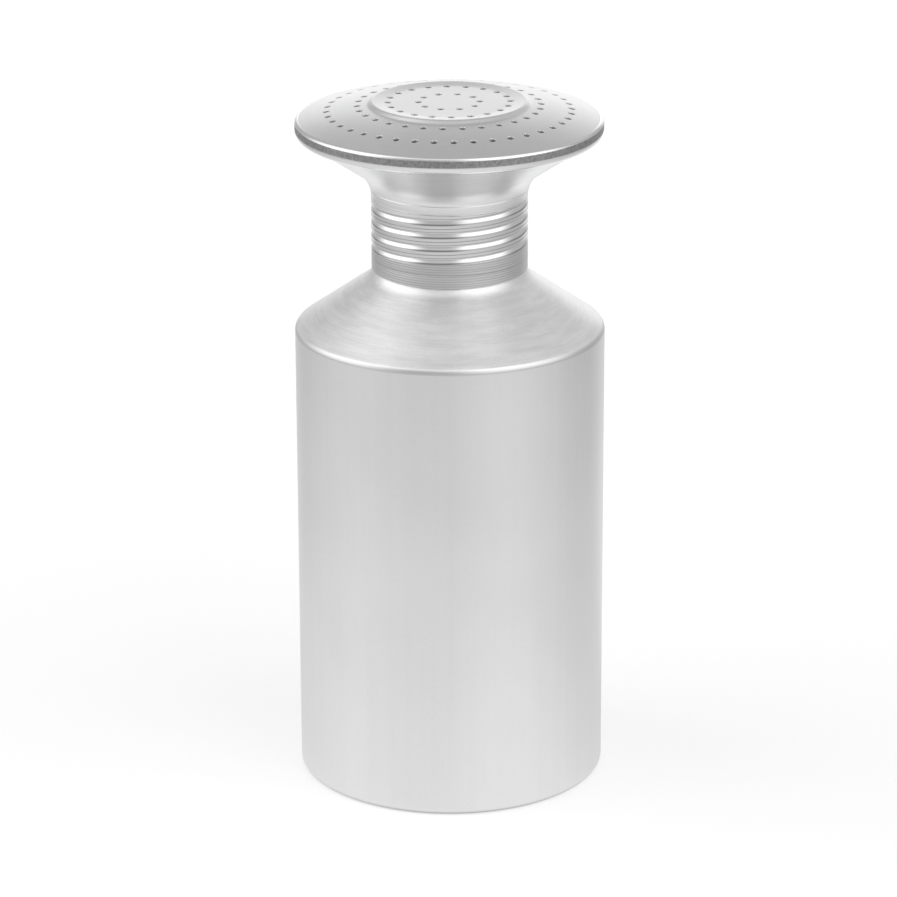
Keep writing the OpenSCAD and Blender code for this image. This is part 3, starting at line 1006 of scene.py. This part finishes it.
# Soft panels of the light tent, in degrees: azimuth and elevation of the middle, half width and half
# height, and how far the edges are softened, then the level. Azimuth 0 is in front, 90 on the right.
PANELS = {
    "right": (54, 32, 38, 30, 17, 1.03),
    "left": (-87, 30, 32, 35, 17, 1.03),
    "back": (176, 7, 18, 14, 9, 0.98),
    "overhead": (-4, 63, 62, 13, 18, 0.5),
    "right_back": (140, 34, 16, 12, 12, 0.15),
}


class SHAKER_OT_stage(bpy.types.Operator):
    """Sets up the floor, the light tent and the camera"""

    bl_idname = "shaker.stage"
    bl_label = "Stage"

    def floor(self, context, st):
        """A pale disc that looks white and keeps the shaker's shadow. In reflections it shows a
        painted glow: bright close to the shaker and straight behind it, with a painted shadow at its
        foot, and dark far off and on the right."""
        count, far_out = FLOOR_SEGMENTS, st.floor_radius
        angles = [math.tau * i / count for i in range(count)]
        verts = [(0, 0, 0)] + [(far_out * math.cos(a), far_out * math.sin(a), 0) for a in angles]
        faces = [[0, 1 + i, 1 + (i + 1) % count] for i in range(count)]
        f = Finish("paper")
        rightward, backward = f.x / (f.radius + 0.001), f.y / (f.radius + 0.001)
        front = 0.5 - backward * 0.5
        far = f.span(f.radius, st.near_floor, st.far_floor)
        level = (front * 0.14 + 0.785 - far * (0.32 - front * 0.1)
                 + f.span(rightward * 0.08 + backward, 0.66, 0.93, 0, 0.36)
                 - f.span(rightward, 0.75, 1, 0, 0.06))
        foot = context.scene.shaker_bottle.body_radius
        # Painted shadow: the reflected level drops to 0.35 round the shaker's foot.
        level = level * f.span(f.radius, foot - 0.0015, foot + 0.0005, 0.35, 1)
        camera_ray = f.node("ShaderNodeLightPath", output="Is Camera Ray")
        glossy_ray = f.node("ShaderNodeLightPath", output="Is Glossy Ray")
        glow = camera_ray * st.floor_glow
        paper, mirrored = (
            f.node("ShaderNodeBsdfPrincipled", None,
                   {"Base Color": base, "Roughness": 1.0, "Specular IOR Level": 0.0,
                    "Emission Color": f.vector(light, light, light), "Emission Strength": 1.0})
            for base, light in ((tint(st.paper), glow), (tint(st.paper, 0), level)))
        f.surface(f.node("ShaderNodeMixShader", None, {0: glossy_ray, 1: paper, 2: mirrored}))
        floor = new_object("floor", verts, faces, [f.material])

    def light(self, st):
        """A tent of soft white windows; the camera sees plain white."""
        world = bpy.data.worlds.new("tent")
        bpy.context.scene.world = world
        tree = Tree(world)
        x, y, z = tree.xyz(tree.node("ShaderNodeTexCoord", output="Generated"))
        azimuth = x.math("ARCTAN2", y * -1)
        elevation = z.math("ARCSINE")
        level = st.tent_level
        for sizes in PANELS.values():
            middle, rise, wide, high, soft = (math.radians(size) for size in sizes[:5])
            panel = sizes[5]
            for place, centre, half in ((azimuth, middle, wide), (elevation, rise, high)):
                away = (place - centre).math("WRAP", math.pi, -math.pi).math("ABSOLUTE")
                panel = tree.span(away, half - soft, half + soft, 1, 0) * panel
            level = panel + level
        tent = tree.node("ShaderNodeBackground", None, {"Color": tree.vector(level, level, level)})
        white = tree.node("ShaderNodeBackground", None, {"Color": (1, 1, 1, 1)})
        path = tree.node("ShaderNodeLightPath", output="Is Camera Ray")
        shown = tree.node("ShaderNodeMixShader", None, {0: path, 1: tent, 2: white})
        tree.node("ShaderNodeOutputWorld", None, {"Surface": shown})

    def camera(self, scene, st):
        """A camera that looks down at the shaker from the front."""
        aim = Vector((st.aim_x, 0, st.aim_height))
        back = Vector((0, -math.cos(st.pitch), math.sin(st.pitch)))
        data = bpy.data.cameras.new("camera")
        data.sensor_width = 36
        data.lens = st.lens
        data.clip_start = 0.05
        data.clip_end = 20
        camera = bpy.data.objects.new("camera", data)
        camera.location = aim + back * st.distance
        camera.rotation_mode = "QUATERNION"
        camera.rotation_quaternion = ((-back).to_track_quat("-Z", "Y")
                                      @ Quaternion((0, 0, 1), st.roll))
        scene.collection.objects.link(camera)
        scene.camera = camera

    def execute(self, context):
        scene = context.scene
        st = scene.shaker_stage
        self.floor(context, st)
        self.light(st)
        self.camera(scene, st)
        scene.view_settings.view_transform = "Standard"
        return {"FINISHED"}


# -------- panel and registration

GROUPS = {
    "shaker_bottle": ShakerBottle,
    "shaker_thread": ShakerThread,
    "shaker_funnel": ShakerFunnel,
    "shaker_sieve": ShakerSieve,
    "shaker_seal": ShakerSeal,
    "shaker_stage": ShakerStage,
}
STEPS = (SHAKER_OT_stage, SHAKER_OT_bottle, SHAKER_OT_funnel, SHAKER_OT_sieve, SHAKER_OT_seal)


class SHAKER_PT_panel(bpy.types.Panel):
    """Lists the pieces and their sizes"""

    bl_idname = "SHAKER_PT_panel"
    bl_label = "Shaker"
    bl_space_type = "VIEW_3D"
    bl_region_type = "UI"
    bl_category = "Shaker"

    def draw(self, context):
        layout = self.layout
        for step in STEPS:
            layout.operator(step.bl_idname)
        for name in GROUPS:
            box = layout.box()
            group = getattr(context.scene, name)
            for key in group.__annotations__:
                box.prop(group, key)


def register():
    for cls in (*GROUPS.values(), *STEPS, SHAKER_PT_panel):
        bpy.utils.register_class(cls)
    for name, cls in GROUPS.items():
        setattr(bpy.types.Scene, name, PointerProperty(type=cls))


def unregister():
    for name in GROUPS:
        delattr(bpy.types.Scene, name)
    for cls in (SHAKER_PT_panel, *STEPS, *reversed(list(GROUPS.values()))):
        bpy.utils.unregister_class(cls)


def main():
    """Registers the add-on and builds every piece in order."""
    register()
    bpy.ops.shaker.stage()
    bpy.ops.shaker.bottle()
    bpy.ops.shaker.funnel()
    bpy.ops.shaker.sieve()
    bpy.ops.shaker.seal()


if __name__ == "__main__":
    main()
